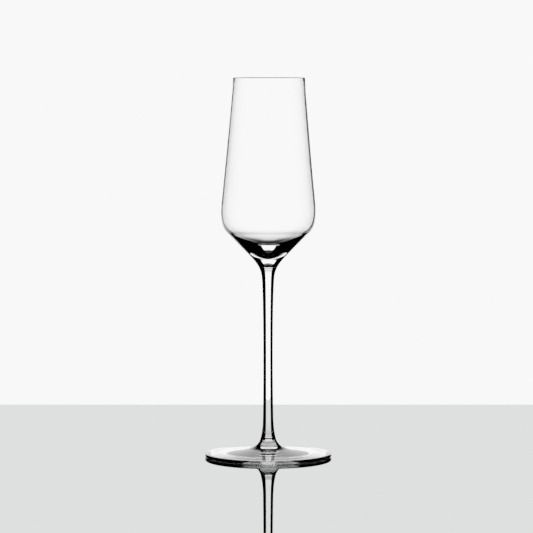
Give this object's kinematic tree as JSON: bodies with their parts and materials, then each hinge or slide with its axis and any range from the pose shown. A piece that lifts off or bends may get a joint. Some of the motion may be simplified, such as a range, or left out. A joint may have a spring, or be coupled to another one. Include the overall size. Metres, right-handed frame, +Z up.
{
  "type": "champagne flute",
  "caption": "Tall stemmed drinking glass in clear glass, with a narrow tapered bowl, a slender stem and a wide round foot.",
  "frame": {"origin": "centre of the foot, on the surface that the glass stands on", "axes": "+Z up along the axis of the stem and the bowl; the glass is round about Z, so X and Y are free"},
  "size_m": [0.0804, 0.0804, 0.24],
  "materials": {
    "clear_glass": "clear colourless blown glass, fire-polished"
  },
  "bodies": {
    "root": {"bowl": "clear_glass", "stem": "clear_glass", "foot": "clear_glass"}
  },
  "joints": []
}
